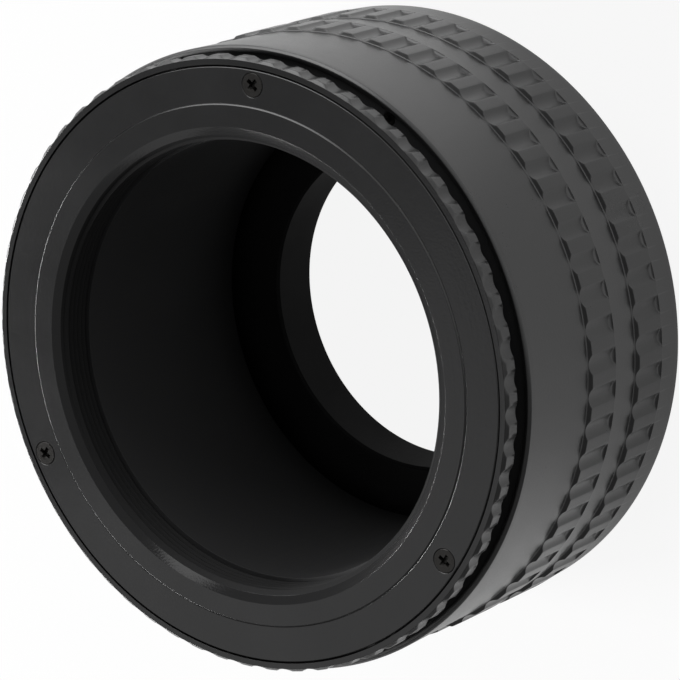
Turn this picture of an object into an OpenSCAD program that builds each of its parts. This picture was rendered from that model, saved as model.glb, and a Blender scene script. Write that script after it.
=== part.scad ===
// Focusing helicoid adapter: a camera extension tube whose length is set by turning a grip sleeve.
// Z runs along the optical axis from the rear thread to the front face.
// The origin is at the centre of the rear seating flange. Sizes are in millimetres.

/* [Overall] */
// Length from the rear seating flange to the front face when closed. The travel follows it.
closed_length = 36; // [33:0.5:42]
// Tapped bore of the female front thread. All the tubes are built outwards from it.
front_bore_d = 51.2; // [46:0.1:70]

/* [Rear mount] */
// Crest diameter of the male rear thread
rear_thread_d = 41.9; // [36:0.1:46]
// Length of the rear thread behind the seating flange
rear_thread_length = 4.8; // [3.5:0.1:7]
// Wall of the threaded stub
rear_stub_wall = 1.35; // [0.9:0.05:2]
// How far the rear flange stands out past the base tube
rear_flange_reach = 2.2; // [1.5:0.05:2.4]
// Thickness of the flange rim under the base tube
rear_rim_thickness = 0.9; // [0.8:0.05:1.2]
// Thickness of the flange disc inside the base tube
rear_disc_thickness = 2; // [1.6:0.1:2.6]

/* [Front mount] */
// Height of the thread ring along the axis
thread_ring_height = 4.5; // [4:0.1:6]
// Width of the chamfer that leads into the front thread
thread_lead_in = 0.65; // [0.4:0.05:0.9]
// Width of the shallow bevel round the mouth, outside that chamfer
mouth_bevel_width = 0.95; // [0.5:0.05:1.2]
// Depth of the bevel round the mouth
mouth_bevel_depth = 0.45; // [0.2:0.05:0.7]
// Width of the thread ring's front face, from the thread to its edge
seat_width = 4.2; // [3.5:0.1:5]
// Height of that face above the clamp plate
seat_rise = 0.15; // [0.05:0.05:0.2]
// Width of the clamp plate
plate_width = 4.1; // [3.6:0.1:5]
// Thickness of the clamp plate
plate_thickness = 1.4; // [1.2:0.1:1.6]
// Width of the groove between the clamp plate and the collar
plate_groove = 0.18; // [0.1:0.02:0.3]

/* [Front screws] */
// Number of screws in the clamp plate
front_screw_count = 3; // [3:1:6]
// Distance from the edge of the clamp plate to the middle of a screw
front_screw_inset = 1.68; // [1.6:0.02:1.9]
// Shank diameter of the front screws
front_screw_d = 1.6; // [1.2:0.1:1.7]
// Head diameter of the front screws
front_screw_head_d = 2.7; // [2.4:0.1:2.9]
// Length of the arms of the cross slot, from end to end
cross_length = 1.5; // [1:0.1:1.8]
// Width of the cross slot
cross_width = 0.34; // [0.2:0.02:0.5]
// Depth of the cross slot
cross_depth = 0.4; // [0.2:0.05:0.5]

/* [Knurled collar] */
// Wall of the collar's rim, over its lands
collar_wall = 1; // [0.8:0.05:1.4]
// Height of the collar's rim
collar_height = 1.95; // [1.8:0.05:2.1]
// Number of flutes round the collar
collar_flutes = 62; // [40:1:64]
// Width of a collar flute
collar_flute_width = 2.2; // [1.6:0.05:2.3]
// Depth of a collar flute
collar_flute_depth = 0.34; // [0.2:0.02:0.4]
// Chamfer along the front of the collar
collar_chamfer = 0.35; // [0.2:0.05:0.4]

/* [Grip sleeve] */
// Wall of the sleeve at its front edge
sleeve_wall = 2.7; // [2.4:0.05:3.5]
// Height of the grip bands' lands above the front edge of the sleeve
band_rise = 0.25; // [0.1:0.05:0.6]
// Fall of the sleeve from the lands to its rear edge
rear_taper = 0.2; // [0:0.05:0.4]
// Height of the step at the front of each band
step_height = 0.5; // [0.3:0.05:0.7]
// Length of that step along the axis
step_length = 0.25; // [0.2:0.05:0.8]
// Length of a grip band from its step to the end of its flutes
band_length = 5.1; // [4:0.05:7]
// Length over which the flutes run out at the rear of a band
band_run_out = 0.9; // [0.4:0.05:1.2]
// Distance from one grip band to the next
band_pitch = 10; // [8:0.5:11]
// Number of grip bands
band_count = 2; // [1:1:2]
// Distance from the front edge of the sleeve to the first grip band
band_start = 12.15; // [8:0.05:12.8]
// Number of flutes round a grip band
band_flutes = 60; // [40:1:62]
// Width of a grip flute
band_flute_width = 2.3; // [1.6:0.05:2.4]
// Depth of a grip flute
band_flute_depth = 0.4; // [0.2:0.05:0.6]
// Gap between the rear flange and the sleeve
sleeve_rear_gap = 0.1; // [0.05:0.05:0.2]
// Gap between the knurled collar and the sleeve when closed
sleeve_front_gap = 1.45; // [1.3:0.05:1.6]
// Chamfer along both ends of the sleeve
sleeve_chamfer = 0.3; // [0.1:0.05:0.4]

/* [Tubes] */
// Wall of the inner barrel
barrel_wall = 3; // [2.7:0.05:3.5]
// Wall of the drive tube
drive_wall = 1.9; // [1.75:0.05:2.4]
// Wall of the guide ring
guide_wall = 0.85; // [0.75:0.05:1.2]
// Wall of the base tube
base_wall = 1.8; // [1.6:0.05:2.4]
// Gap between the flange disc and the inner barrel when closed
barrel_rear_gap = 1.5; // [1.2:0.1:2]
// Wall that closes the front ends of the slots in the base tube, where the tongues stop
stop_wall = 0.8; // [0.5:0.1:2]

/* [Guides] */
// Number of guide bars, and of the tongues that run in the base tube
guide_count = 3; // [3:1:4]
// Width of a guide bar and of a tongue
guide_width = 6; // [4:0.5:7]
// Thickness of a guide bar
guide_bar_thickness = 0.95; // [0.7:0.05:1.05]
// How far a tongue reaches into the wall of the base tube
tongue_reach = 1; // [0.7:0.05:1.15]
// Height of a tongue along the axis
tongue_height = 1; // [0.8:0.05:1.2]
// Side of the square section of the snap ring
snap_ring_size = 0.7; // [0.6:0.05:0.8]
// Split in the snap ring, which lets it be closed up when it is fitted
snap_ring_split = 4; // [2:0.5:8]
// Thickness of the thrust washer
washer_thickness = 0.3; // [0.2:0.05:0.5]

/* [Fits] */
// Clearance between faces that slide or turn on each other
run_fit = 0.05; // [0.03:0.01:0.06]
// Clearance between faces that are fastened together
seat_fit = 0.02; // [0.01:0.01:0.03]

/* [Hidden] */

$fn = 240;
cutter_fn = 64;
small_fn = 32;
// Overshoot of every cut past the face that it leaves
past = 1;
// Open gap between inner pieces that pass each other without touching
air = 0.2;
// Loose gap round pieces that are held by their faces
loose_fit = 0.1;

anodised_black = [0.10, 0.10, 0.105];
matt_black = [0.05, 0.05, 0.055];
screw_black = [0.16, 0.155, 0.15];
brass = [0.72, 0.58, 0.30];
spring_steel = [0.55, 0.56, 0.58];

// Radii of the tubes, worked outwards from the front thread
front_bore_r = front_bore_d / 2;
barrel_relief = 0.3;
barrel_bore_r = front_bore_r - barrel_relief;
barrel_r = barrel_bore_r + barrel_wall;
drive_in_r = barrel_r + run_fit;
drive_out_r = drive_in_r + drive_wall;
guide_in_r = drive_out_r + run_fit;
guide_out_r = guide_in_r + guide_wall;
base_in_r = guide_out_r + run_fit;
base_out_r = base_in_r + base_wall;
sleeve_in_r = base_out_r + run_fit;
sleeve_front_r = sleeve_in_r + sleeve_wall;
sleeve_lip = 0.7;
counterbore_r = sleeve_front_r - sleeve_lip;
land_r = sleeve_front_r + band_rise;
root_r = land_r - step_height;
sleeve_rear_r = land_r - rear_taper;
rear_flange_r = base_out_r + rear_flange_reach;

// Radii of the front pieces, worked outwards from the front thread
boss_wall = 1;
boss_r = front_bore_r + boss_wall;
seat_r = front_bore_r + seat_width;
plate_r = seat_r + plate_width;
rim_in_r = plate_r + plate_groove;
collar_r = rim_in_r + collar_wall;
front_screw_r = plate_r - front_screw_inset;
ledge_margin = 0.3;
collar_bore_r = front_screw_r - front_screw_d / 2 - seat_fit - ledge_margin;
thread_flange_r = collar_bore_r - loose_fit;
barrel_flange_inset = 0.5;
barrel_flange_r = plate_r - barrel_flange_inset;

// Heights along the axis, worked down from the front face
seat_z = closed_length;
plate_z = seat_z - seat_rise;
collar_rear_z = plate_z - collar_height;
sleeve_front_z = collar_rear_z - sleeve_front_gap;
plate_rear_z = plate_z - plate_thickness;
ledge_thickness = 0.8;
barrel_head_z = plate_rear_z - ledge_thickness;
barrel_flange_thickness = 1;
barrel_flange_z = barrel_head_z - barrel_flange_thickness;
thread_ring_z = seat_z - thread_ring_height;

// The drive tube carries the sleeve on a flange that lies in a counterbore at the sleeve's front
drive_flange_thickness = 0.8;
drive_hub_rise = 0.4;
drive_hub_z = barrel_flange_z - air;
drive_flange_top = drive_hub_z - drive_hub_rise;
drive_flange_z = drive_flange_top - drive_flange_thickness;
base_top = drive_flange_z - air;
slot_top = base_top - stop_wall;

// Heights along the axis, worked up from the rear flange
sleeve_rear_z = rear_rim_thickness + sleeve_rear_gap;
barrel_rear_z = rear_disc_thickness + barrel_rear_gap;
guide_z = rear_disc_thickness + air;
bar_foot_thickness = 0.9;
guide_plate_z = guide_z + bar_foot_thickness;
guide_plate_thickness = 0.9;
guide_plate_top = guide_plate_z + guide_plate_thickness;
drive_rear_z = guide_plate_top + washer_thickness + run_fit;
groove_shoulder = 0.8;
snap_groove_z = drive_rear_z + groove_shoulder;
guide_top = snap_groove_z + snap_ring_size + groove_shoulder;

// Guide bars, which lie in grooves along the inner barrel
bar_out_r = barrel_r - loose_fit;
bar_in_r = bar_out_r - guide_bar_thickness;
bar_groove_r = bar_in_r - run_fit;
bar_top = barrel_flange_z - loose_fit;

// Small chamfers along the edges
edge = 0.3;
fine_edge = 0.1;

// Places of the repeated fasteners and guides, as angles about the axis
front_screw_angle = 87.2;
rear_screw_angle = 30;
bar_angle = 30;
tongue_angle = 90;
sleeve_screw_angle = 60;

// Small screws and where they lie
rear_screw_d = 1.2;
rear_screw_head_d = 2.2;
rear_screw_length = 4.5;
rear_screw_count = 3;
rear_screw_r = (base_in_r + base_out_r) / 2;
bar_screw_d = 1;
bar_screw_head_d = 1.8;
bar_screw_r = (bar_out_r + guide_in_r) / 2;
sleeve_screw_d = 1;
sleeve_screw_head_d = 1.5;
sleeve_screw_length = 3.5;
sleeve_screw_count = 3;
sleeve_screw_r = counterbore_r - loose_fit - sleeve_screw_head_d / 2;

// Turns of the flutes that bring a flute to the place where the real one lies
band_phase = 3.85;
collar_phase = 0.19;

// A round cutter of this radius leaves a flute of the given width and depth
function cutter_radius(width, depth) = (pow(width / 2, 2) + pow(depth, 2)) / (2 * depth);

// One copy of the children at each of count equal angles
module around(count, first = 0) {
    for (i = [0 : count - 1])
        rotate([0, 0, first + i * 360 / count])
            children();
}

// A plain ring from height low to height high
module ring(r_in, r_out, low, high) {
    translate([0, 0, low])
        linear_extrude(height = high - low)
            difference() {
                circle(r = r_out);
                circle(r = r_in);
            }
}

// A block across the wall of a ring, centred on the X axis, for keys and their slots
module key_block(r_in, r_out, width, low, high) {
    translate([r_in, -width / 2, low])
        cube([r_out - r_in, width, high - low]);
}

// A straight hole along the axis at radius r
module hole(r, d, low, high) {
    translate([r, 0, low])
        cylinder(d = d, h = high - low, $fn = small_fn);
}

// A countersunk screw with its head flush at height face; down is true where it points down the axis
module countersunk_screw(r, d, head_d, face, length, down = true) {
    sink = (head_d - d) / 2;
    translate([r, 0, face])
        mirror([0, 0, down ? 1 : 0]) {
            cylinder(d1 = head_d, d2 = d, h = sink, $fn = small_fn);
            cylinder(d = d, h = length, $fn = small_fn);
        }
}

// The hole for such a screw, wider all round by the fit, whose cone runs on past the face
module countersunk_hole(r, d, head_d, face, length, down = true) {
    hole_d = d + 2 * seat_fit;
    mouth_d = head_d + 2 * seat_fit;
    translate([r, 0, face])
        mirror([0, 0, down ? 1 : 0]) {
            translate([0, 0, -past])
                cylinder(d1 = mouth_d + 2 * past, d2 = hole_d, h = past + (head_d - d) / 2, $fn = small_fn);
            cylinder(d = hole_d, h = length, $fn = small_fn);
        }
}

// Outline of a disc with round-bottomed flutes, drawn proud of the lands by the extra
module fluted_disc(r, count, width, depth, phase, extra = 0) {
    cut_r = cutter_radius(width, depth);
    difference() {
        circle(r = r + extra);
        for (i = [0 : count - 1])
            rotate(phase + i * 360 / count)
                translate([r - depth + cut_r, 0])
                    circle(r = cut_r, $fn = cutter_fn);
    }
}

// Rear flange disc with the male thread stub
module rear_mount() {
    thread_r = rear_thread_d / 2;
    bore_r = thread_r - rear_stub_wall;
    spigot_r = base_in_r - seat_fit;
    color(anodised_black)
        difference() {
            rotate_extrude()
                polygon([
                    [bore_r, edge - rear_thread_length],
                    [bore_r + edge, -rear_thread_length],
                    [thread_r - edge, -rear_thread_length],
                    [thread_r, edge - rear_thread_length],
                    [thread_r, 0],
                    [rear_flange_r - edge, 0],
                    [rear_flange_r, edge],
                    [rear_flange_r, rear_rim_thickness - fine_edge],
                    [rear_flange_r - fine_edge, rear_rim_thickness],
                    [spigot_r, rear_rim_thickness],
                    [spigot_r, rear_disc_thickness],
                    [bore_r + edge, rear_disc_thickness],
                    [bore_r, rear_disc_thickness - edge]
                ]);
            around(rear_screw_count, rear_screw_angle)
                countersunk_hole(rear_screw_r, rear_screw_d, rear_screw_head_d,
                                 0, rear_rim_thickness + past, false);
        }
}

// Fixed outer tube of the helicoid, slotted inside for the tongues of the guide ring
module base_tube() {
    color(matt_black)
        difference() {
            rotate_extrude()
                polygon([
                    [base_in_r, rear_rim_thickness],
                    [base_out_r, rear_rim_thickness],
                    [base_out_r, base_top - edge],
                    [base_out_r - edge, base_top],
                    [base_in_r, base_top]
                ]);
            around(guide_count, tongue_angle)
                key_block(base_in_r - past, base_in_r + tongue_reach, guide_width + 2 * run_fit,
                          rear_rim_thickness - past, slot_top);
            around(rear_screw_count, rear_screw_angle)
                hole(rear_screw_r, rear_screw_d + 2 * seat_fit,
                     rear_rim_thickness - past, rear_screw_length + seat_fit);
        }
}

// Screws from behind that hold the base tube on the rear mount
module rear_screws() {
    color(screw_black)
        around(rear_screw_count, rear_screw_angle)
            countersunk_screw(rear_screw_r, rear_screw_d, rear_screw_head_d,
                              0, rear_screw_length, false);
}

// Guide ring: it slides in the base tube without turning, and the drive tube turns inside it
module guide_ring() {
    color(matt_black)
        difference() {
            union() {
                rotate_extrude()
                    polygon([
                        [drive_in_r + run_fit, guide_plate_z],
                        [guide_in_r, guide_plate_z],
                        [guide_in_r, guide_z],
                        [guide_out_r, guide_z],
                        [guide_out_r, guide_top],
                        [guide_in_r, guide_top],
                        [guide_in_r, snap_groove_z + snap_ring_size + run_fit],
                        [guide_in_r + snap_ring_size / 2, snap_groove_z + snap_ring_size + run_fit],
                        [guide_in_r + snap_ring_size / 2, snap_groove_z],
                        [guide_in_r, snap_groove_z],
                        [guide_in_r, guide_plate_top],
                        [drive_in_r + run_fit, guide_plate_top]
                    ]);
                around(guide_count, tongue_angle)
                    intersection() {
                        ring(guide_in_r + guide_wall / 2, base_in_r + tongue_reach - run_fit,
                             guide_z, guide_z + tongue_height);
                        key_block(guide_in_r, base_out_r, guide_width,
                                  guide_z - past, guide_z + tongue_height + past);
                    }
            }
            around(guide_count, bar_angle)
                hole(bar_screw_r, bar_screw_d + 2 * seat_fit, guide_plate_z - past, guide_plate_top + past);
        }
}

// Angled flat bar that keeps the inner barrel from turning
module guide_bar(index) {
    color(brass)
        rotate([0, 0, bar_angle + index * 360 / guide_count])
            difference() {
                intersection() {
                    union() {
                        ring(bar_in_r, bar_out_r, guide_z, bar_top);
                        ring(bar_in_r, guide_in_r - seat_fit, guide_z, guide_plate_z);
                    }
                    key_block(bar_in_r - past, guide_in_r + past, guide_width - 2 * run_fit,
                              guide_z - past, bar_top + past);
                }
                countersunk_hole(bar_screw_r, bar_screw_d, bar_screw_head_d,
                                 guide_z, bar_foot_thickness + past, false);
            }
}

// Screws that fasten the feet of the guide bars under the guide ring
module guide_bar_screws() {
    color(screw_black)
        around(guide_count, bar_angle)
            countersunk_screw(bar_screw_r, bar_screw_d, bar_screw_head_d,
                              guide_z, guide_plate_top - guide_z, false);
}

// Thin washer that the drive tube turns on
module thrust_washer() {
    color(brass)
        ring(drive_in_r + 2 * run_fit, drive_out_r - run_fit,
             guide_plate_top, guide_plate_top + washer_thickness);
}

// Split ring that locks the guide ring to the drive tube along the axis and lets it turn
module snap_ring() {
    half = snap_ring_size / 2;
    color(spring_steel)
        difference() {
            ring(guide_in_r - half + run_fit, guide_in_r + half,
                 snap_groove_z, snap_groove_z + snap_ring_size);
            key_block(drive_in_r, base_out_r, snap_ring_split,
                      snap_groove_z - past, snap_groove_z + snap_ring_size + past);
        }
}

// Height of the foot of a grip band's step, counted from the front
function band_foot(index) = sleeve_front_z - band_start - index * band_pitch;

// Height at which the flutes of a grip band run out
function band_end(index) = band_foot(index) - band_length;

// Cutter for all the flutes of one band, sloped at the rear so that they run out
module band_flute_cutter(index) {
    core_r = land_r - 2 * band_flute_depth;
    rim_r = land_r + band_flute_depth;
    difference() {
        rotate_extrude()
            polygon([
                [core_r, band_end(index) + 2 * band_run_out],
                [rim_r, band_end(index) - band_run_out],
                [rim_r, band_foot(index)],
                [core_r, band_foot(index)]
            ]);
        translate([0, 0, band_end(index) - 2 * past])
            linear_extrude(height = band_length + 3 * past)
                fluted_disc(land_r, band_flutes, band_flute_width,
                            band_flute_depth, band_phase, loose_fit);
    }
}

// Grip sleeve that the user turns, stepped up at the front of each band and tapering behind it
module grip_sleeve() {
    bands = [for (i = [band_count - 1 : -1 : 0])
        each [
            [land_r, band_end(i)],
            [land_r, band_foot(i) - step_length],
            [root_r, band_foot(i)]
        ]];
    color(anodised_black)
        difference() {
            rotate_extrude()
                polygon(concat(
                    [
                        [sleeve_in_r, sleeve_rear_z + edge],
                        [sleeve_in_r + edge, sleeve_rear_z],
                        [sleeve_rear_r - sleeve_chamfer, sleeve_rear_z],
                        [sleeve_rear_r, sleeve_rear_z + sleeve_chamfer]
                    ],
                    bands,
                    [
                        [sleeve_front_r, sleeve_front_z - sleeve_chamfer],
                        [sleeve_front_r - sleeve_chamfer, sleeve_front_z],
                        [counterbore_r, sleeve_front_z],
                        [counterbore_r, drive_flange_z],
                        [sleeve_in_r, drive_flange_z]
                    ]));
            for (i = [0 : band_count - 1])
                band_flute_cutter(i);
            around(sleeve_screw_count, sleeve_screw_angle)
                hole(sleeve_screw_r, sleeve_screw_d + 2 * seat_fit,
                     drive_flange_top - sleeve_screw_length - seat_fit, drive_flange_z + past);
        }
}

// Tube that turns with the grip sleeve, to which it is joined by its front flange.
// The thread in its bore moves the inner barrel.
module drive_tube() {
    groove_r = guide_in_r - snap_ring_size / 2;
    color(matt_black)
        difference() {
            rotate_extrude()
                polygon([
                    [drive_in_r, drive_rear_z],
                    [drive_out_r, drive_rear_z],
                    [drive_out_r, snap_groove_z - run_fit],
                    [groove_r, snap_groove_z - run_fit],
                    [groove_r, snap_groove_z + snap_ring_size + run_fit],
                    [drive_out_r, snap_groove_z + snap_ring_size + run_fit],
                    [drive_out_r, drive_flange_z],
                    [counterbore_r - seat_fit, drive_flange_z],
                    [counterbore_r - seat_fit, drive_flange_top],
                    [drive_out_r, drive_flange_top],
                    [drive_out_r, drive_hub_z],
                    [drive_in_r, drive_hub_z]
                ]);
            around(sleeve_screw_count, sleeve_screw_angle)
                countersunk_hole(sleeve_screw_r, sleeve_screw_d, sleeve_screw_head_d,
                                 drive_flange_top, drive_flange_thickness + past);
        }
}

// Screws that join the drive tube to the grip sleeve, hidden behind the collar
module sleeve_screws() {
    color(screw_black)
        around(sleeve_screw_count, sleeve_screw_angle)
            countersunk_screw(sleeve_screw_r, sleeve_screw_d, sleeve_screw_head_d,
                              drive_flange_top, sleeve_screw_length);
}

// Inner barrel, grooved outside for the guide bars, with the head flange that carries the front
module inner_barrel() {
    color(matt_black)
        difference() {
            rotate_extrude()
                polygon([
                    [barrel_bore_r, barrel_rear_z + edge],
                    [barrel_bore_r + edge, barrel_rear_z],
                    [barrel_r, barrel_rear_z],
                    [barrel_r, barrel_flange_z],
                    [barrel_flange_r, barrel_flange_z],
                    [barrel_flange_r, barrel_head_z],
                    [boss_r + seat_fit, barrel_head_z],
                    [boss_r + seat_fit, thread_ring_z],
                    [barrel_bore_r, thread_ring_z]
                ]);
            around(guide_count, bar_angle)
                intersection() {
                    ring(bar_groove_r, barrel_r + past, barrel_rear_z - past, bar_top + run_fit);
                    key_block(bar_groove_r - past, barrel_r + past, guide_width,
                              barrel_rear_z - past, bar_top + run_fit);
                }
            around(front_screw_count, front_screw_angle)
                hole(front_screw_r, front_screw_d + 2 * seat_fit,
                     barrel_flange_z - past, barrel_head_z + past);
        }
}

// Knurled collar clamped between the barrel's head and the clamp plate
module knurled_collar() {
    color(anodised_black)
        difference() {
            intersection() {
                rotate_extrude()
                    polygon([
                        [collar_bore_r, barrel_head_z],
                        [rim_in_r, barrel_head_z],
                        [rim_in_r, collar_rear_z],
                        [collar_r - fine_edge, collar_rear_z],
                        [collar_r, collar_rear_z + fine_edge],
                        [collar_r, plate_z - collar_chamfer],
                        [collar_r - collar_chamfer, plate_z],
                        [rim_in_r, plate_z],
                        [rim_in_r, plate_rear_z],
                        [collar_bore_r, plate_rear_z]
                    ]);
                translate([0, 0, barrel_head_z])
                    linear_extrude(height = plate_z - barrel_head_z)
                        fluted_disc(collar_r, collar_flutes, collar_flute_width,
                                    collar_flute_depth, collar_phase);
            }
            around(front_screw_count, front_screw_angle)
                hole(front_screw_r, front_screw_d + 2 * seat_fit,
                     barrel_head_z - past, plate_rear_z + past);
        }
}

// Ring with the female front thread, held by its flange under the clamp plate
module front_thread_ring() {
    lead_in_r = front_bore_r + thread_lead_in;
    lead_in_z = seat_z - mouth_bevel_depth;
    color(anodised_black)
        rotate_extrude()
            polygon([
                [front_bore_r, thread_ring_z],
                [boss_r, thread_ring_z],
                [boss_r, barrel_head_z],
                [thread_flange_r, barrel_head_z],
                [thread_flange_r, plate_rear_z],
                [seat_r, plate_rear_z],
                [seat_r, seat_z - seat_rise],
                [seat_r - seat_rise, seat_z],
                [lead_in_r + mouth_bevel_width, seat_z],
                [lead_in_r, lead_in_z],
                [front_bore_r, lead_in_z - thread_lead_in]
            ]);
}

// Flat ring that clamps the thread ring and the collar to the barrel's head
module clamp_plate() {
    color(anodised_black)
        difference() {
            rotate_extrude()
                polygon([
                    [seat_r + seat_fit, plate_rear_z],
                    [plate_r, plate_rear_z],
                    [plate_r, plate_z - fine_edge],
                    [plate_r - fine_edge, plate_z],
                    [seat_r + seat_fit, plate_z]
                ]);
            around(front_screw_count, front_screw_angle)
                countersunk_hole(front_screw_r, front_screw_d, front_screw_head_d,
                                 plate_z, plate_thickness + past);
        }
}

// Countersunk screws of the clamp plate, with a cross slot in each head
module front_screws() {
    color(screw_black)
        around(front_screw_count, front_screw_angle)
            difference() {
                countersunk_screw(front_screw_r, front_screw_d, front_screw_head_d,
                                  plate_z, plate_z - barrel_flange_z);
                translate([front_screw_r, 0, plate_z - cross_depth])
                    for (turn = [45, 135])
                        rotate([0, 0, turn])
                            translate([-cross_length / 2, -cross_width / 2, 0])
                                cube([cross_length, cross_width, cross_depth + past]);
            }
}

rear_mount();
base_tube();
rear_screws();
guide_ring();
guide_bar(0);  // guide_bar_1
guide_bar(1);  // guide_bar_2
guide_bar(2);  // guide_bar_3
guide_bar_screws();
thrust_washer();
snap_ring();
grip_sleeve();
drive_tube();
sleeve_screws();
inner_barrel();
knurled_collar();
front_thread_ring();
clamp_plate();
front_screws();
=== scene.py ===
"""Looks of the focusing helicoid adapter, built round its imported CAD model.

Every visible ring is made again as a fine revolved mesh with its flutes, threads, grooves and softened
edges. Its radii and heights are measured on the CAD node that it stands for. Lengths are in millimetres
until a mesh is made, angles in radians, and the optical axis is Z.
"""

import math
from types import SimpleNamespace

import bmesh
import bpy
import numpy as np
from mathutils import Matrix, Vector


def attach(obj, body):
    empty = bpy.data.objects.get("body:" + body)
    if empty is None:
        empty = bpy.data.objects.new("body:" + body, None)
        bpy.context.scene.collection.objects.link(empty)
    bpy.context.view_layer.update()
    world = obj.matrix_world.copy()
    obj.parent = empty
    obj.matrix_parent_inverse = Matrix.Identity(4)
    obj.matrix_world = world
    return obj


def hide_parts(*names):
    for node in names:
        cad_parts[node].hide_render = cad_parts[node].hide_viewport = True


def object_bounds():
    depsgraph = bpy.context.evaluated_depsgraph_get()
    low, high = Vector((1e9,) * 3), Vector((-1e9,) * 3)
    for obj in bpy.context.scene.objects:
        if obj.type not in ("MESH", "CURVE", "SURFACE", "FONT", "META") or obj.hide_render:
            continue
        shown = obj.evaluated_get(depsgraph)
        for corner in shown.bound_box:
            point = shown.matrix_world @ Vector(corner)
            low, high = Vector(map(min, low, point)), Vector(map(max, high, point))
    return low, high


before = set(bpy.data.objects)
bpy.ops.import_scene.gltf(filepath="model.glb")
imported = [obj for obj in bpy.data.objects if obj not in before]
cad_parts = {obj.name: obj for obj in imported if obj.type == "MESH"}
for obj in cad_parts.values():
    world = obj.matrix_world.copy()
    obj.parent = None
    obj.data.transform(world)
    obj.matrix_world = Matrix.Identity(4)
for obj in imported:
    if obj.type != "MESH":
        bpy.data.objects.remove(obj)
cad_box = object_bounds()

MM = 0.001
TURN = 2 * math.pi

# Size of the small round along most edges
SOFT = 0.06
# Chamfers along most edges and along the fine ones
EDGE = 0.3
FINE_EDGE = 0.1
# A second point this close to a corner keeps the face beyond it flat
NEAR = 0.01

# Gaps between faces that run on each other, between faces that are fastened together, and round loose ones
RUN_FIT = 0.05
SEAT_FIT = 0.02
LOOSE_FIT = 0.1


# Measuring the CAD nodes


def measured(node):
    """Inner and outer radius and lowest and highest point of a CAD ring, in millimetres."""
    points = np.array([v.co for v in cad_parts[node].data.vertices]) / MM
    radius = np.hypot(points[:, 0], points[:, 1])
    return SimpleNamespace(
        r_in=radius.min(), r_out=radius.max(), low=points[:, 2].min(), high=points[:, 2].max()
    )


# Angles and rows of points round the axis


def equal_angles(count, first_deg=0.0):
    """The angles of count equal places round the axis."""
    return [math.radians(first_deg) + i * TURN / count for i in range(count)]


def off_centre(angles, centres):
    """How far each angle lies from the nearest of the centres."""
    across = np.asarray(angles)[:, None] - np.asarray(centres)[None, :]
    return np.abs((across + math.pi) % TURN - math.pi).min(axis=1)


def softened(points, size=SOFT):
    """An open outline with each inner corner cut back by a small round."""
    out = [points[0]]
    for before, corner, after in zip(points, points[1:], points[2:]):
        corner = Vector(corner)
        back = Vector(before) - corner
        ahead = Vector(after) - corner
        back *= min(size, back.length / 3) / back.length
        ahead *= min(size, ahead.length / 3) / ahead.length
        for share in (0, 1 / 3, 2 / 3, 1):
            out.append(tuple(corner + back * (1 - share) ** 2 + ahead * share**2))
    out.append(points[-1])
    return out


def round_rows(points, angles):
    """One row of (radius, angle, height) for each (radius, height) of an outline."""
    angles = np.asarray(angles, float)
    return [np.column_stack([np.full_like(angles, r), angles, np.full_like(angles, z)]) for r, z in points]


def slot_angles(angles, slots, radius):
    """Angles for the columns of a slotted ring, with a pair of columns at each edge of each slot."""
    gap = SOFT / 2 / radius
    half = slots.half_width / radius
    edges = [c + side * half + step for c in slots.centres for side in (-1, 1) for step in (-gap, gap)]
    return np.unique(np.round(np.concatenate([np.asarray(angles), np.asarray(edges) % TURN]), 7))


def cut_slots(row, slots):
    """Moves the row's points that lie in a slot, between slots.low and slots.high, to the slot's floor."""
    height = row[:, 2]
    sideways = off_centre(row[:, 1], slots.centres) * row[:, 0]
    inside = (sideways < slots.half_width) & (height >= slots.low) & (height <= slots.high)
    row[inside, 0] = slots.floor_r


def refined(section, most=0.1):
    """The same thread section with points added, until none lie more than this share of the pitch apart."""
    out = []
    for (along, height), (next_along, next_height) in zip(section, section[1:] + [(1.0, section[0][1])]):
        steps = math.ceil((next_along - along) / most)
        for share in np.arange(steps) / steps:
            out.append((along + share * (next_along - along), height + share * (next_height - height)))
    return out


def threaded_rows(thread, angles, limit=None):
    """Rows that follow a thread's helix, from thread.low to thread.high.

    The section of the thread is a list of (share of the pitch, share of the depth above the root). Both
    ends run out to the root. limit(row) may give other radii, to cut the thread by a chamfer or a slot.
    """
    lead = thread.pitch * thread.starts * thread.hand
    angles = np.asarray(angles, float)
    rise = lead * angles / TURN
    first = math.floor((thread.low - max(lead, 0)) / thread.pitch)
    last = math.ceil((thread.high - min(lead, 0)) / thread.pitch)
    rows = []
    for turn in range(first, last + 1):
        for along, height in thread.section:
            z = np.clip((turn + along) * thread.pitch + rise, thread.low, thread.high)
            from_low = np.clip((z - thread.low) / thread.run_out, 0, 1)
            from_high = np.clip((thread.high - z) / thread.run_out, 0, 1)
            fade = from_low * from_high
            r = thread.root_r + (thread.crest_r - thread.root_r) * height * fade
            rows.append(np.column_stack([r, angles, z]))
            if limit:
                rows[-1][:, 0] = limit(rows[-1])
    return rows


def flute_columns(half, pitch, gap):
    """Offsets of one flute's columns from its middle: its hollow, two soft edges and the land after it."""
    hollow = (half - gap) * np.linspace(-1, 1, 13)[1:-1]
    land = [half + share * (pitch - 2 * half) for share in (0.25, 0.5, 0.75)]
    return np.array([-half - gap, -half + gap, *hollow, half - gap, half + gap, *land])


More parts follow.
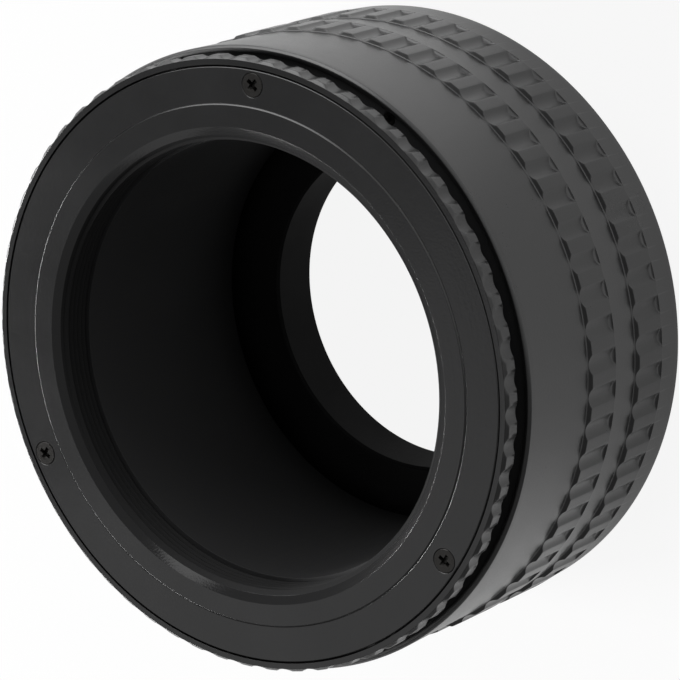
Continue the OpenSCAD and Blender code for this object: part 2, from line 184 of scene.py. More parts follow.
def fluted_rows(points, cut):
    """Rows of a wall with flutes from a round cutter. Each point is (radius, height, floor radius or None).

    The flutes go no deeper than the floor, and there are none where it is None. The columns close up on
    the edges of the flutes, so that each edge is one clean line, also where a flute arches over a chamfer.
    """
    cutter_r = (cut.width**2 / 4 + cut.depth**2) / (2 * cut.depth)
    reach = cut.land_r - cut.depth + cutter_r
    pitch = TURN / cut.count
    nominal = cut.width / 2 / cut.land_r
    rows = []
    for r, z, floor in points:
        cosine = (r * r + reach * reach - cutter_r**2) / (2 * r * reach)
        reached = floor is not None and cosine < 1
        half = max(math.acos(cosine), cut.edge / r) if reached else nominal
        offsets = flute_columns(half, pitch, cut.edge / 2 / r)
        radius = np.full_like(offsets, r)
        if reached:
            inside = np.abs(offsets) < half
            across = reach * np.sin(offsets[inside])
            hollow = reach * np.cos(offsets[inside]) - np.sqrt(cutter_r**2 - across**2)
            radius[inside] = np.clip(hollow, min(floor, r), r)
        centres = cut.phase + np.arange(cut.count) * pitch
        angles = (centres[:, None] + offsets[None, :]).ravel()
        rows.append(np.column_stack([np.tile(radius, cut.count), angles, np.full(angles.size, z)]))
    return rows


# Meshes


def in_scene(name, data):
    """A new object of the data, in the scene."""
    thing = bpy.data.objects.new(name, data)
    bpy.context.scene.collection.objects.link(thing)
    return thing


def mesh_of(name, work):
    """A mesh of the bmesh, which is used up."""
    mesh = bpy.data.meshes.new(name)
    work.to_mesh(mesh)
    work.free()
    return mesh


def smooth_piece(name, mesh, sharp_deg):
    """The object of a mesh, smooth but for the edges that turn by more than sharp_deg."""
    mesh.shade_smooth()
    mesh.set_sharp_from_angle(angle=math.radians(sharp_deg))
    return in_scene(name, mesh)


def ring_mesh(name, rows, turn_rows=0, threaded=0):
    """A closed ring through the rows.

    The first rows, as many as threaded says, climb as a thread: past the ring's seam each goes on
    turn_rows rows further.
    """
    table = np.array(rows)
    count, columns = table.shape[:2]
    r, angle, z = table[..., 0], table[..., 1], table[..., 2]
    points = np.stack([r * np.cos(angle), r * np.sin(angle), z], axis=-1).reshape(-1, 3) * MM
    after_seam = np.arange(count)
    after_seam[:threaded] = np.clip(after_seam[:threaded] + turn_rows, 0, threaded - 1)
    faces = []
    for i in range(count):
        following = (i + 1) % count
        here = np.arange(columns) + i * columns
        there = np.arange(columns) + following * columns
        here_next = np.append(here[1:], after_seam[i] * columns)
        there_next = np.append(there[1:], after_seam[following] * columns)
        faces += np.stack([here, here_next, there_next, there], axis=-1).tolist()
    mesh = bpy.data.meshes.new(name)
    mesh.from_pydata(points.tolist(), [], faces)
    return cleaned(name, mesh)


def cleaned(name, mesh):
    """The object of a mesh without double points and empty faces, with its normals outwards."""
    merge_m = 0.4e-6
    work = bmesh.new()
    work.from_mesh(mesh)
    bmesh.ops.remove_doubles(work, verts=work.verts, dist=merge_m)
    bmesh.ops.dissolve_degenerate(work, edges=work.edges, dist=merge_m)
    bmesh.ops.recalc_face_normals(work, faces=work.faces)
    work.to_mesh(mesh)
    work.free()
    return smooth_piece(name, mesh, 50)


def carved(piece, cutters):
    """The piece with the cutters taken out of it. The cutters are used up."""
    for cutter in cutters:
        modifier = piece.modifiers.new("cut", "BOOLEAN")
        modifier.operation = "DIFFERENCE"
        modifier.solver = "EXACT"
        modifier.object = cutter
    evaluated = piece.evaluated_get(bpy.context.evaluated_depsgraph_get())
    mesh = bpy.data.meshes.new_from_object(evaluated)
    name = piece.name
    for used in (piece, *cutters):
        bpy.data.objects.remove(used)
    return smooth_piece(name, mesh, 30)


def joined(name, parts):
    """One object made of several, which are used up."""
    work = bmesh.new()
    for part in parts:
        part.data.transform(part.matrix_world)
        work.from_mesh(part.data)
        bpy.data.objects.remove(part)
    return smooth_piece(name, mesh_of(name, work), 30)


def placed(piece, radius, angle, height, flip):
    """Moves a piece made at the origin to its place round the axis, upside down if flip is true."""
    place = Matrix.Rotation(angle, 4, "Z") @ Matrix.Translation((radius * MM, 0, height * MM))
    if flip:
        place = place @ Matrix.Rotation(math.pi, 4, "X")
    piece.matrix_world = place
    return piece


def spun(name, points, columns):
    """A solid of revolution about its own axis, from an outline that starts and ends on the axis."""
    tiny = 0.0005
    outline = [(max(r, tiny), z) for r, z in points]
    return ring_mesh(name, round_rows(outline, equal_angles(columns)))


# Screws

# Length, width and depth of a cross recess, as shares of the radius of the head
CROSS_SHARES = (1.45, 0.38, 0.36)


def screw_places(radius, first_deg, height, turns):
    """Equal places round the axis, one for each turn of a cross: (radius, angle, height, turn)."""
    return [(radius, angle, height, turn) for angle, turn in zip(equal_angles(len(turns), first_deg), turns)]


def cross_cutter(length, width, depth):
    """Two tapered bars at right angles, for the recess of a cross-head screw."""
    over = 0.3
    foot_share = 0.45
    bars = []
    for turn in (0, math.pi / 2):
        work = bmesh.new()
        bmesh.ops.create_cube(work, size=1)
        for corner in work.verts:
            upper = corner.co.z > 0
            share = 1.0 if upper else foot_share
            corner.co.x *= length * share
            corner.co.y *= width * (share + 1) / 2
            corner.co.z = over if upper else -depth
        place = Matrix.Rotation(turn, 4, "Z") @ Matrix.Scale(MM, 4)
        bmesh.ops.transform(work, matrix=place, verts=work.verts)
        bars.append(in_scene("cross_bar", mesh_of("cross_bar", work)))
    return bars


def screw(kind, turn):
    """A countersunk cross-head screw whose head lies at the origin, facing up."""
    rim = 0.05
    outline = [
        (0, -kind.length),
        (kind.shank_r, -kind.length),
        (kind.shank_r, kind.shank_r - kind.head_r),
        (kind.head_r, -rim),
        (kind.head_r - rim, 0),
        (0, 0),
    ]
    bars = cross_cutter(*(share * kind.head_r for share in CROSS_SHARES))
    for bar in bars:
        bar.matrix_world = Matrix.Rotation(turn, 4, "Z")
    return carved(spun("screw", outline, 48), bars)


def screws(kind):
    """All the screws of a kind, as one piece."""
    made = []
    for radius, angle, height, turn in kind.places:
        made.append(placed(screw(kind, turn), radius, angle, height, kind.flip))
        bpy.context.view_layer.update()
    return joined(kind.name, made)


def countersinks(kind):
    """Cutters for the countersunk holes of a kind of screw, wider than the screws by a hair all round."""
    hair = 0.1
    over = 0.5
    wide = kind.head_r + hair
    narrow = kind.shank_r + hair
    outline = [
        (0, over),
        (wide + over, over),
        (wide, 0),
        (narrow, narrow - wide),
        (narrow, -kind.hole_depth),
        (0, -kind.hole_depth),
    ]
    made = []
    for radius, angle, height, _ in kind.places:
        made.append(placed(spun("cutter", outline, 40), radius, angle, height, kind.flip))
    bpy.context.view_layer.update()
    return made


# The CAD rings and their sizes

rear = measured("rear_mount")
tube = measured("base_tube")
sleeve = measured("grip_sleeve")
drive = measured("drive_tube")
barrel = measured("inner_barrel")
collar = measured("knurled_collar")
thread_ring = measured("front_thread_ring")
plate = measured("clamp_plate")

# The sleeve is the widest piece. A micron less keeps it inside the box of the CAD model.
MICRON = 0.001
sleeve.r_out -= MICRON

# Sizes of the CAD model that the reach of its rings doesn't give
DRIVE_WALL = 1.9
DRIVE_HUB_RISE = 0.4
DRIVE_FLANGE_THICKNESS = 0.8
DRIVE_FLANGE_TOP = drive.high - DRIVE_HUB_RISE
DRIVE_FLANGE_LOW = DRIVE_FLANGE_TOP - DRIVE_FLANGE_THICKNESS
COUNTERBORE_R = drive.r_out + SEAT_FIT
SLEEVE_SCREW_HEAD_R = 0.75
FRONT_SCREW_INSET = 1.68

REAR_SCREWS = SimpleNamespace(
    name="rear_screw_set",
    head_r=1.1,
    shank_r=0.6,
    length=4,
    hole_depth=1.5,
    flip=True,
    places=screw_places((tube.r_in + tube.r_out) / 2, 30, 0.0, (0.4, 1.4, 2.4)),
)
SLEEVE_SCREWS = SimpleNamespace(
    name="sleeve_screw_set",
    head_r=SLEEVE_SCREW_HEAD_R,
    shank_r=0.5,
    length=3,
    hole_depth=1.5,
    flip=False,
    places=screw_places(
        COUNTERBORE_R - LOOSE_FIT - SLEEVE_SCREW_HEAD_R, 60, DRIVE_FLANGE_TOP, (0.7, 1.7, 2.7)
    ),
)
FRONT_SCREWS = SimpleNamespace(
    name="front_screw_set",
    head_r=1.35,
    shank_r=0.8,
    length=3,
    hole_depth=2,
    flip=False,
    places=screw_places(plate.r_out - FRONT_SCREW_INSET, 87.2, plate.high, (0.9, 0.6, 0.0)),
)

# The grip bands, and the cutters of their flutes and of the collar's
BAND = SimpleNamespace(
    start=12.15,
    pitch=10.0,
    length=5.1,
    step_height=0.5,
    step_length=0.25,
    rear_taper=0.2,
    front_drop=0.25,
    run_out=0.95,
)
BAND_CUT = SimpleNamespace(
    count=60, width=2.3, depth=0.4, edge=0.1, land_r=sleeve.r_out, phase=math.radians(3.85)
)
COLLAR_CUT = SimpleNamespace(
    count=62, width=2.2, depth=0.34, edge=0.05, land_r=collar.r_out, phase=math.radians(0.19)
)

# Sections of the threads, as (share of the pitch, share of the depth above the root)
V_SECTION = [(0.0, 1), (0.12, 1), (0.48, 0), (0.64, 0)]
HELICOID_SECTION = [(0.0, 1), (0.42, 1), (0.52, 0), (0.9, 0)]

HELICOID_LEAD = 18.0
HELICOID_STARTS = 12
HELICOID_DEPTH = 0.42

# Angles of the columns of the finer rings, and of the long tubes
FINE = equal_angles(360)
COARSE = equal_angles(180)


# The rings


def helicoid(root_r, crest_r, low, high, hand):
    """A wall of one of the two many-start helicoid threads."""
    return SimpleNamespace(
        root_r=root_r,
        crest_r=crest_r,
        low=low,
        high=high,
        hand=hand,
        run_out=0.3,
        pitch=HELICOID_LEAD / HELICOID_STARTS,
        starts=HELICOID_STARTS,
        section=HELICOID_SECTION,
    )


def with_thread(name, thread, angles, rest, limit=None):
    """A ring whose section goes up a thread and on through the rest of the rows, back to its start."""
    wall = threaded_rows(thread, angles, limit)
    turn_rows = thread.starts * len(thread.section) * thread.hand
    return ring_mesh(name, wall + rest, turn_rows, len(wall))


def rear_mount():
    """Flange disc with the threaded stub that screws into a camera adapter."""
    crest_r = 20.95
    root_r = 20.35
    relief = 0.7
    rim_top = tube.low
    spigot_r = tube.r_in - SEAT_FIT
    thread = SimpleNamespace(
        pitch=1.0,
        starts=1,
        hand=1,
        root_r=root_r,
        crest_r=crest_r,
        low=rear.low + FINE_EDGE,
        high=-relief,
        run_out=0.3,
        section=refined(V_SECTION),
    )
    outline = softened(
        [
            (root_r, -relief),
            (root_r, 0),
            (rear.r_out - EDGE, 0),
            (rear.r_out, EDGE),
            (rear.r_out, rim_top - FINE_EDGE),
            (rear.r_out - FINE_EDGE, rim_top),
            (spigot_r, rim_top),
            (spigot_r, rear.high),
            (rear.r_in + EDGE, rear.high),
            (rear.r_in, rear.high - EDGE),
            (rear.r_in, rear.low + EDGE),
            (rear.r_in + EDGE, rear.low),
            (root_r - FINE_EDGE, rear.low),
            (root_r, rear.low + FINE_EDGE),
        ]
    )
    piece = with_thread("rear_mount_ring", thread, FINE, round_rows(outline[1:-1], FINE))
    return carved(piece, countersinks(REAR_SCREWS))


def base_tube():
    """Fixed tube with the outer helicoid on its outside and the three tongue slots inside."""
    stop_wall = 0.8
    foot = 0.8
    slot_depth = 1
    past = 1
    slots = SimpleNamespace(
        centres=equal_angles(3, 90),
        half_width=3.05,
        floor_r=tube.r_in + slot_depth,
        low=tube.low - past,
        high=tube.high - stop_wall + SOFT,
    )
    angles = slot_angles(COARSE, slots, tube.r_in)
    thread = helicoid(tube.r_out - HELICOID_DEPTH, tube.r_out, tube.low + foot, tube.high - EDGE, 1)
    outline = softened(
        [
            (thread.root_r, thread.high),
            (thread.root_r, tube.high),
            (tube.r_in, tube.high),
            (tube.r_in, slots.high + SOFT),
        ]
    )
    outline += [
        (tube.r_in, slots.high - SOFT),
        (tube.r_in, tube.low),
        (tube.r_out - EDGE, tube.low),
        (thread.root_r, thread.low - FINE_EDGE),
    ]
    rest = round_rows(outline[1:], angles)
    for row in rest:
        if row[0, 0] <= tube.r_in + FINE_EDGE:
            cut_slots(row, slots)
    return with_thread("base_tube_ring", thread, angles, rest)


def band_points(foot):
    """Outline of a grip band from the run-out of its flutes to the fillet at its foot, with their floor."""
    land_r = sleeve.r_out
    root_r = land_r - BAND.step_height
    end = foot - BAND.length
    edge_z = foot - BAND.step_length
    tail_drop = 0.03
    tail_length = 0.1
    fillet = 0.25
    fillet_reach = 0.14
    points = [(land_r - tail_drop, end - tail_length, None)]
    for share in np.linspace(0, 1, 12):
        floor_r = land_r - BAND_CUT.depth * (1 - (1 - share) ** 4)
        points.append((land_r, end + share * BAND.run_out, floor_r))
    points.append((land_r, end + BAND.run_out + SOFT, 0))
    points.append((land_r, edge_z - SOFT, 0))
    for share in (0.06, 0.15, 0.25, 0.37, 0.5, 0.62, 0.7):
        points.append((land_r - share * BAND.step_height, edge_z + share * BAND.step_length, 0))
    for share in np.linspace(0, 1, 6):
        back = fillet * (1 - share) ** 2
        z = foot - back * BAND.step_length + fillet_reach * share**2
        points.append((root_r + back * BAND.step_height, z, 0))
    return points


def grip_sleeve():
    """Sleeve with its two fluted bands. Behind each band it falls away towards the next."""
    rear_r = sleeve.r_out - BAND.rear_taper
    front_r = sleeve.r_out - BAND.front_drop
    end_length = 1.2
    end_fall = 0.02
    behind = softened(
        [
            (sleeve.r_in, DRIVE_FLANGE_LOW),
            (sleeve.r_in, sleeve.low + EDGE),
            (sleeve.r_in + EDGE, sleeve.low),
            (rear_r - EDGE, sleeve.low),
            (rear_r, sleeve.low + EDGE),
            (rear_r + end_fall, sleeve.low + end_length),
        ]
    )
    ahead = softened(
        [
            (front_r - end_fall, sleeve.high - end_length),
            (front_r, sleeve.high - EDGE),
            (front_r - EDGE, sleeve.high),
            (COUNTERBORE_R, sleeve.high),
            (COUNTERBORE_R, DRIVE_FLANGE_LOW),
            (sleeve.r_in + FINE_EDGE, DRIVE_FLANGE_LOW),
        ]
    )
    points = [(r, z, None) for r, z in behind]
    for index in (1, 0):
        points += band_points(sleeve.high - BAND.start - index * BAND.pitch)
    points += [(r, z, None) for r, z in ahead]
    return ring_mesh("grip_sleeve_ring", fluted_rows(points, BAND_CUT))


def knurled_collar():
    """Rim with its flutes and the ledge that is clamped under the plate."""
    height = 1.95
    groove = 0.18
    chamfer = 0.35
    # Distance along the outline between the fluted rows and the first and last plain ones
    apart = 0.05
    land_r = collar.r_out
    rim_r = plate.r_out + groove
    rear_z = collar.high - height
    points = [
        (rim_r, rear_z, None),
        (land_r - FINE_EDGE - SOFT, rear_z, 0),
        (land_r - FINE_EDGE, rear_z, 0),
        (land_r, rear_z + FINE_EDGE, 0),
        (land_r, collar.high - chamfer - SOFT, 0),
    ]
    for share in (0, 0.15, 0.3, 0.45, 0.6, 0.75, 0.85, 0.92, 1.0):
        points.append((land_r - share * chamfer, collar.high - (1 - share) * chamfer, 0))
    inner = softened(
        [
            (land_r - chamfer - apart, collar.high),
            (rim_r + SOFT / 2, collar.high),
            (rim_r, collar.high),
            (rim_r, plate.low),
            (collar.r_in, plate.low),
            (collar.r_in, collar.low),
            (rim_r, collar.low),
            (rim_r, rear_z - apart),
        ]
    )
    points += [(r, z, None) for r, z in inner]
    return ring_mesh("knurled_collar_ring", fluted_rows(points, COLLAR_CUT))


def drive_tube():
    """Tube with the inner helicoid in its bore and the flange that carries the sleeve."""
    end = 0.4
    thread = helicoid(drive.r_in + HELICOID_DEPTH, drive.r_in, drive.low + end, drive.high - end, -1)
    wall_r = drive.r_in + DRIVE_WALL
    snap_groove_r = wall_r - 0.35
    snap_groove_low = drive.low + 0.75
    snap_groove_high = drive.low + 1.6
    outline = softened(
        [
            (thread.root_r, thread.high),
            (thread.root_r, drive.high - FINE_EDGE),
            (thread.root_r + FINE_EDGE, drive.high),
            (wall_r, drive.high),
            (wall_r, DRIVE_FLANGE_TOP),
            (drive.r_out, DRIVE_FLANGE_TOP),
            (drive.r_out, DRIVE_FLANGE_LOW),
            (wall_r, DRIVE_FLANGE_LOW),
            (wall_r, snap_groove_high),
            (snap_groove_r, snap_groove_high),
            (snap_groove_r, snap_groove_low),
            (wall_r, snap_groove_low),
            (wall_r, drive.low),
            (thread.root_r, drive.low),
            (thread.root_r, thread.low),
        ]
    )
    piece = with_thread("drive_tube_ring", thread, COARSE, round_rows(outline[1:-1], COARSE))
    return carved(piece, countersinks(SLEEVE_SCREWS))


def inner_barrel():
    """Barrel that comes out, with the inner helicoid outside, three guide grooves and the head flange."""
    outer_r = drive.r_in - RUN_FIT
    counterbore_r = 26.62
    head_thickness = 1
    thread_gap = 0.5
    head_low = barrel.high - head_thickness
    grooves = SimpleNamespace(centres=equal_angles(3, 30), half_width=3.0, floor_r=27.2)
    angles = slot_angles(COARSE, grooves, outer_r)
    grooved = off_centre(angles, grooves.centres) * outer_r < grooves.half_width
    thread = helicoid(outer_r - HELICOID_DEPTH, outer_r, barrel.low + EDGE, head_low - thread_gap, -1)

    def limit(row):
        return np.where(grooved, grooves.floor_r, row[:, 0])

    outline = softened(
        [
            (thread.root_r, thread.high),
            (thread.root_r, head_low),
            (barrel.r_out, head_low),
            (barrel.r_out, barrel.high),
            (counterbore_r, barrel.high),
            (counterbore_r, thread_ring.low),
            (barrel.r_in, thread_ring.low),
            (barrel.r_in, barrel.low + EDGE),
            (barrel.r_in + EDGE, barrel.low),
            (thread.root_r - EDGE, barrel.low),
            (thread.root_r, thread.low),
        ]
    )
    return with_thread("inner_barrel_ring", thread, angles, round_rows(outline[1:-1], angles), limit)


def front_thread_ring():
    """Ring with the female front thread, its mouth chamfer and its flat seat."""
    thread_depth = 0.4
    lead_in_width = 0.65
    bevel_width = 0.95
    bevel_depth = 0.45
    boss_wall = 1
    bore_r = thread_ring.r_in
    root_r = bore_r + thread_depth
    lead_in_r = bore_r + lead_in_width
    lead_in_z = thread_ring.high - bevel_depth
    boss_r = bore_r + boss_wall
    rise = thread_ring.high - plate.high
    seat_r = plate.r_in - SEAT_FIT
    thread = SimpleNamespace(
        pitch=0.75,
        starts=1,
        hand=1,
        root_r=root_r,
        crest_r=bore_r,
        low=thread_ring.low + FINE_EDGE,
        high=lead_in_z + root_r - lead_in_r,
        run_out=0.12,
        section=refined(V_SECTION),
    )

    def limit(row):
        return np.maximum(row[:, 0], lead_in_r + row[:, 2] - lead_in_z)

    outline = softened(
        [
            (root_r, thread.high),
            (lead_in_r, lead_in_z),
            (lead_in_r + bevel_width, thread_ring.high),
            (lead_in_r + bevel_width + NEAR, thread_ring.high),
            (seat_r - rise, thread_ring.high),
            (seat_r, plate.high),
            (seat_r, plate.low),
            (thread_ring.r_out, plate.low),
            (thread_ring.r_out, barrel.high),
            (boss_r, barrel.high),
            (boss_r, thread_ring.low),
            (root_r, thread_ring.low),
            (root_r, thread.low),
        ],
        0.02,
    )
    return with_thread("front_thread_ring_fine", thread, FINE, round_rows(outline[1:-1], FINE), limit)


def clamp_plate():
    """Flat ring with three countersunk holes."""
    outline = softened(
        [
            (plate.r_in, plate.low),
            (plate.r_out, plate.low),
            (plate.r_out, plate.high - FINE_EDGE),
            (plate.r_out - FINE_EDGE, plate.high),
            (plate.r_out - FINE_EDGE - NEAR, plate.high),
            (plate.r_in + SOFT / 2, plate.high),
            (plate.r_in, plate.high - SOFT / 2),
            (plate.r_in, plate.low + FINE_EDGE),
        ]
    )
    piece = ring_mesh("clamp_plate_ring", round_rows(outline, FINE))
    return carved(piece, countersinks(FRONT_SCREWS))


# Materials


def node_of(tree, kind, inputs=None, **settings):
    """Adds a shader node, with its settings and the values or links of its inputs."""
    node = tree.nodes.new(kind)
    for key, value in settings.items():
        setattr(node, key, value)
    for key, value in (inputs or {}).items():
        if isinstance(value, bpy.types.NodeSocket):
            tree.links.new(value, node.inputs[key])
        else:
            node.inputs[key].default_value = value
    return node


def result_of(tree, operation, first, second):
    """The result of a Math node on two sockets or numbers."""
    return node_of(tree, "ShaderNodeMath", {0: first, 1: second}, operation=operation).outputs[0]


def empty_tree(owner, output):
    """The emptied node tree of a material or world, and the surface socket of its new output node."""
    owner.use_nodes = True
    tree = owner.node_tree
    tree.nodes.clear()
    return tree, tree.nodes.new(output).inputs["Surface"]


def turned_finish(name, dark, light, rough, metallic=0.0, specular=0.5):
    """A lathe-turned and blasted surface: rings of tool marks, fine grain, slow changes of tone and gloss.

    dark and light are the two tones, rough the lowest and highest roughness.
    """
    marks_per_m = 5500.0
    grain_per_m = 4200.0
    clouds_per_m = 90.0
    changes_round = 1.5
    mark_depth_m = 0.00001
    grain_depth_m = 0.00002
    bump_strength = 0.35
    grain_share = 0.5
    lowest_mix = 0.45
    highest_mix = 1.05
    material = bpy.data.materials.new(name)
    tree, surface = empty_tree(material, "ShaderNodeOutputMaterial")
    place = tree.nodes.new("ShaderNodeTexCoord").outputs["Object"]
    parts = node_of(tree, "ShaderNodeSeparateXYZ", {0: place}).outputs
    flat = node_of(tree, "ShaderNodeCombineXYZ", {0: parts[0], 1: parts[1]}).outputs[0]
    radius = node_of(tree, "ShaderNodeVectorMath", {0: flat}, operation="LENGTH").outputs["Value"]
    around = node_of(tree, "ShaderNodeVectorMath", {0: flat}, operation="NORMALIZE").outputs[0]
    heading = node_of(tree, "ShaderNodeSeparateXYZ", {0: around}).outputs

    def times(socket, factor):
        return result_of(tree, "MULTIPLY", socket, factor)

    # The marks change fast along the radius and the axis and slowly round it.
    ring_place = node_of(
        tree,
        "ShaderNodeCombineXYZ",
        {
            0: times(radius, marks_per_m),
            1: times(parts[2], marks_per_m),
            2: times(heading[0], changes_round),
        },
    ).outputs[0]
    rings = node_of(
        tree,
        "ShaderNodeTexNoise",
        {"Vector": ring_place, "W": times(heading[1], changes_round), "Scale": 1.0, "Detail": 2.0},
        noise_dimensions="4D",
    ).outputs[0]
    fine = node_of(
        tree, "ShaderNodeTexNoise", {"Vector": place, "Scale": grain_per_m, "Detail": 3.0}
    ).outputs[0]
    cloud = node_of(
        tree, "ShaderNodeTexNoise", {"Vector": place, "Scale": clouds_per_m, "Detail": 5.0, "Roughness": 0.6}
    ).outputs[0]

    # Sockets 6 and 7 of the Mix node are its colours. Sockets 1 to 4 of Map Range are its two ranges.
    tone = node_of(
        tree, "ShaderNodeMix", {0: cloud, 6: (*dark, 1), 7: (*light, 1)}, data_type="RGBA"
    ).outputs[2]
    mixed = result_of(tree, "ADD", cloud, times(fine, grain_share))
    gloss = node_of(
        tree, "ShaderNodeMapRange", {0: mixed, 1: lowest_mix, 2: highest_mix, 3: rough[0], 4: rough[1]}
    ).outputs[0]
    ring_bump = node_of(
        tree, "ShaderNodeBump", {"Strength": bump_strength, "Distance": mark_depth_m, "Height": rings}
    ).outputs[0]
    bump = node_of(
        tree,
        "ShaderNodeBump",
        {"Strength": bump_strength, "Distance": grain_depth_m, "Height": fine, "Normal": ring_bump},
    ).outputs[0]
    shader = node_of(
        tree,
        "ShaderNodeBsdfPrincipled",
        {
            "Base Color": tone,
            "Roughness": gloss,
            "Metallic": metallic,
            "Specular IOR Level": specular,
            "Normal": bump,
        },
    )
    tree.links.new(shader.outputs[0], surface)
    return material


MATERIALS = {
    "anodised": turned_finish(
        "black_anodised", (0.006, 0.006, 0.0063), (0.01, 0.01, 0.0105), (0.26, 0.36), specular=0.95
    ),
    "faced": turned_finish(
        "black_faced", (0.006, 0.006, 0.0063), (0.01, 0.01, 0.0105), (0.11, 0.14), specular=0.95
    ),
    "inner_black": turned_finish(
        "matt_black", (0.024, 0.024, 0.0246), (0.033, 0.033, 0.034), (0.58, 0.7), specular=0.22
    ),
    "thread_black": turned_finish(
        "matt_thread", (0.01, 0.01, 0.0103), (0.014, 0.014, 0.0144), (0.58, 0.7), specular=0.22
    ),
    "screw": turned_finish(
        "blackened_steel", (0.022, 0.021, 0.02), (0.038, 0.036, 0.034), (0.17, 0.23), metallic=0.7
    ),
    "brass": turned_finish(
        "brass", (0.5, 0.36, 0.15), (0.66, 0.5, 0.24), (0.24, 0.38), metallic=1.0
    ),
    "spring_steel": turned_finish(
        "spring_steel", (0.36, 0.36, 0.37), (0.46, 0.46, 0.47), (0.22, 0.34), metallic=1.0
    ),
}


# Putting the pieces on the frame


def dressed(piece, node, body, slot, blacked_r=0.0, faced=False):
    """The piece stands for a CAD node: it rides on its body and has its finish.

    Faces inside the radius blacked_r are matt. If faced is true, those that look forwards are smoother.
    """
    finishes = (slot, "thread_black", "faced")
    piece.data.materials.clear()
    for finish in finishes:
        piece.data.materials.append(MATERIALS[finish])
    for face in piece.data.polygons:
        finish = slot
        if face.center.xy.length / MM < blacked_r:
            finish = "thread_black"
        elif faced and face.normal.z > 0.8:
            finish = "faced"
        face.material_index = finishes.index(finish)
    weighted = piece.modifiers.new("weighted", "WEIGHTED_NORMAL")
    weighted.keep_sharp = True
    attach(piece, body)
    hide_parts(node)


dressed(rear_mount(), "rear_mount", "base", "anodised", blacked_r=20.2)
dressed(base_tube(), "base_tube", "base", "inner_black")
dressed(grip_sleeve(), "grip_sleeve", "focus", "anodised")
dressed(drive_tube(), "drive_tube", "focus", "inner_black")
dressed(inner_barrel(), "inner_barrel", "front", "inner_black")
dressed(knurled_collar(), "knurled_collar", "front", "anodised", faced=True)
dressed(front_thread_ring(), "front_thread_ring", "front", "anodised", blacked_r=26.25, faced=True)
dressed(clamp_plate(), "clamp_plate", "front", "anodised", faced=True)
dressed(screws(FRONT_SCREWS), "front_screws", "front", "screw")
dressed(screws(REAR_SCREWS), "rear_screws", "base", "screw")
dressed(screws(SLEEVE_SCREWS), "sleeve_screws", "focus", "screw")

KEPT_NODES = {
    "guide_ring": "inner_black",
    "guide_bar_1": "brass",
    "guide_bar_2": "brass",
    "guide_bar_3": "brass",
    "guide_bar_screws": "screw",
    "thrust_washer": "brass",
    "snap_ring": "spring_steel",
}
for node, slot in KEPT_NODES.items():
    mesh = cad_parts[node].data
    mesh.materials.clear()
    mesh.materials.append(MATERIALS[slot])


# Floor, light and camera

# How white the floor and the world are to the camera, and how white to glossy and clear surfaces
FLOOR_WHITE = (0.9, 0.27)
WORLD_WHITE = (1.0, 0.16)
# Strength of the light that the world gives
WORLD_LIGHT = 0.14

# Distance of each lamp in metres
LAMP_DISTANCE = 1.0
# Azimuth and elevation in degrees, width and height in metres, and power in watts of each lamp
LAMPS = {
    "light_front": (40.0, 20.0, 1.8, 0.64, 2.6),
    "light_left": (120.0, 20.0, 1.0, 0.5, 4.8),
    "light_back": (193.0, 32.0, 0.36, 0.2, 9.0),
    "light_side": (217.0, 27.0, 0.3, 0.16, 2.5),
    "light_face": (231.0, 44.0, 0.6, 0.6, 0.26),
    "light_mouth": (126.0, 57.0, 0.22, 0.22, 0.13),
}

# The camera's place in millimetres and its axes, fitted to the outlines in the photograph
CAMERA_PLACE = (244.4, 111.3, 364.9)
CAMERA_RIGHT = (0.81832, 0.0, -0.57476)
CAMERA_UP = (-0.14656, 0.96694, -0.20867)
CAMERA_BACK = (0.55576, 0.25500, 0.79127)


def white_share(tree, direct, mirrored):
    """How white something is by itself: direct to the camera, mirrored to glossy and clear surfaces."""
    ray = tree.nodes.new("ShaderNodeLightPath").outputs
    shiny = result_of(tree, "MAXIMUM", ray["Is Glossy Ray"], ray["Is Transmission Ray"])
    shiny = result_of(tree, "MULTIPLY", shiny, mirrored)
    seen = result_of(tree, "MULTIPLY", ray["Is Camera Ray"], direct)
    return result_of(tree, "MAXIMUM", seen, shiny)


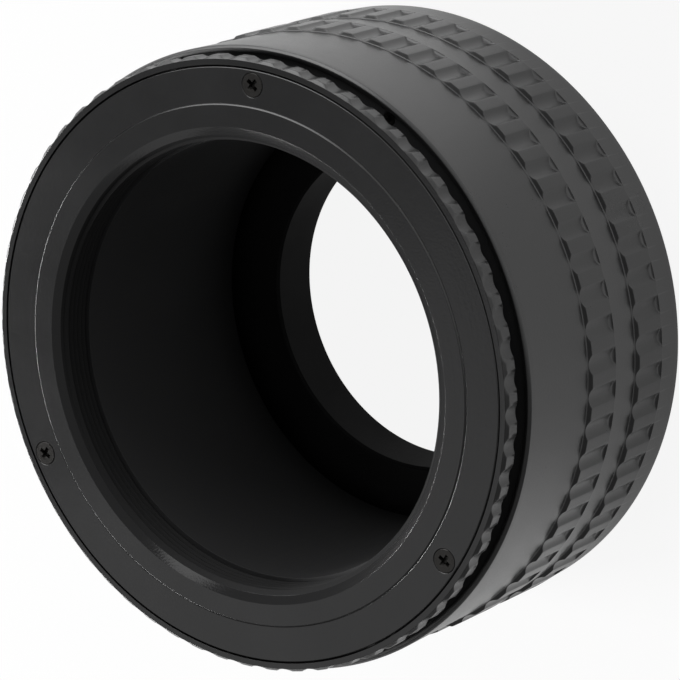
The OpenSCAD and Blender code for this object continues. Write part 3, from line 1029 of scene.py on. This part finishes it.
def studio_floor():
    """A pale floor that reads white and keeps the shadow of the object."""
    half = 4.0
    height = cad_box[0].z
    corners = [(-half, -half, height), (half, -half, height), (half, half, height), (-half, half, height)]
    mesh = bpy.data.meshes.new("floor")
    mesh.from_pydata(corners, [], [(0, 1, 2, 3)])
    floor = in_scene("floor", mesh)
    material = bpy.data.materials.new("pale_floor")
    tree, surface = empty_tree(material, "ShaderNodeOutputMaterial")
    share = white_share(tree, *FLOOR_WHITE)
    matt = node_of(tree, "ShaderNodeBsdfDiffuse", {"Color": (0.9, 0.9, 0.9, 1)}).outputs[0]
    white = node_of(tree, "ShaderNodeEmission", {"Color": (1, 1, 1, 1), "Strength": 1.0}).outputs[0]
    mixed = node_of(tree, "ShaderNodeMixShader", {0: share, 1: matt, 2: white}).outputs[0]
    tree.links.new(mixed, surface)
    mesh.materials.append(material)


def studio_world():
    """Dim, even surroundings, seen by the camera as white."""
    world = bpy.data.worlds.new("studio")
    bpy.context.scene.world = world
    tree, surface = empty_tree(world, "ShaderNodeOutputWorld")
    level = result_of(tree, "MAXIMUM", white_share(tree, *WORLD_WHITE), WORLD_LIGHT)
    light = node_of(tree, "ShaderNodeBackground", {"Color": (1, 1, 1, 1), "Strength": level}).outputs[0]
    tree.links.new(light, surface)


def soft_box(name, azimuth, elevation, width, height, power):
    """A soft light that faces the object from a direction in degrees."""
    data = bpy.data.lights.new(name, "AREA")
    data.shape = "RECTANGLE"
    data.size = width
    data.size_y = height
    data.energy = power
    lamp = in_scene(name, data)
    across = math.radians(azimuth)
    up = math.radians(elevation)
    away = Vector((math.cos(up) * math.cos(across), math.cos(up) * math.sin(across), math.sin(up)))
    lamp.location = away * LAMP_DISTANCE
    lamp.rotation_euler = away.to_track_quat("Z", "Y").to_euler()


def studio_camera():
    """The photograph's view of the object."""
    data = bpy.data.cameras.new("camera")
    data.lens = 202.0
    data.sensor_width = 36.0
    data.clip_start = 0.01
    data.clip_end = 20.0
    camera = in_scene("camera", data)
    place = Matrix((CAMERA_RIGHT, CAMERA_UP, CAMERA_BACK)).transposed().to_4x4()
    place.translation = Vector(CAMERA_PLACE) * MM
    camera.matrix_world = place
    bpy.context.scene.camera = camera


studio_floor()
studio_world()
for name, lamp in LAMPS.items():
    soft_box(name, *lamp)
studio_camera()
bpy.context.scene.view_settings.view_transform = "Standard"
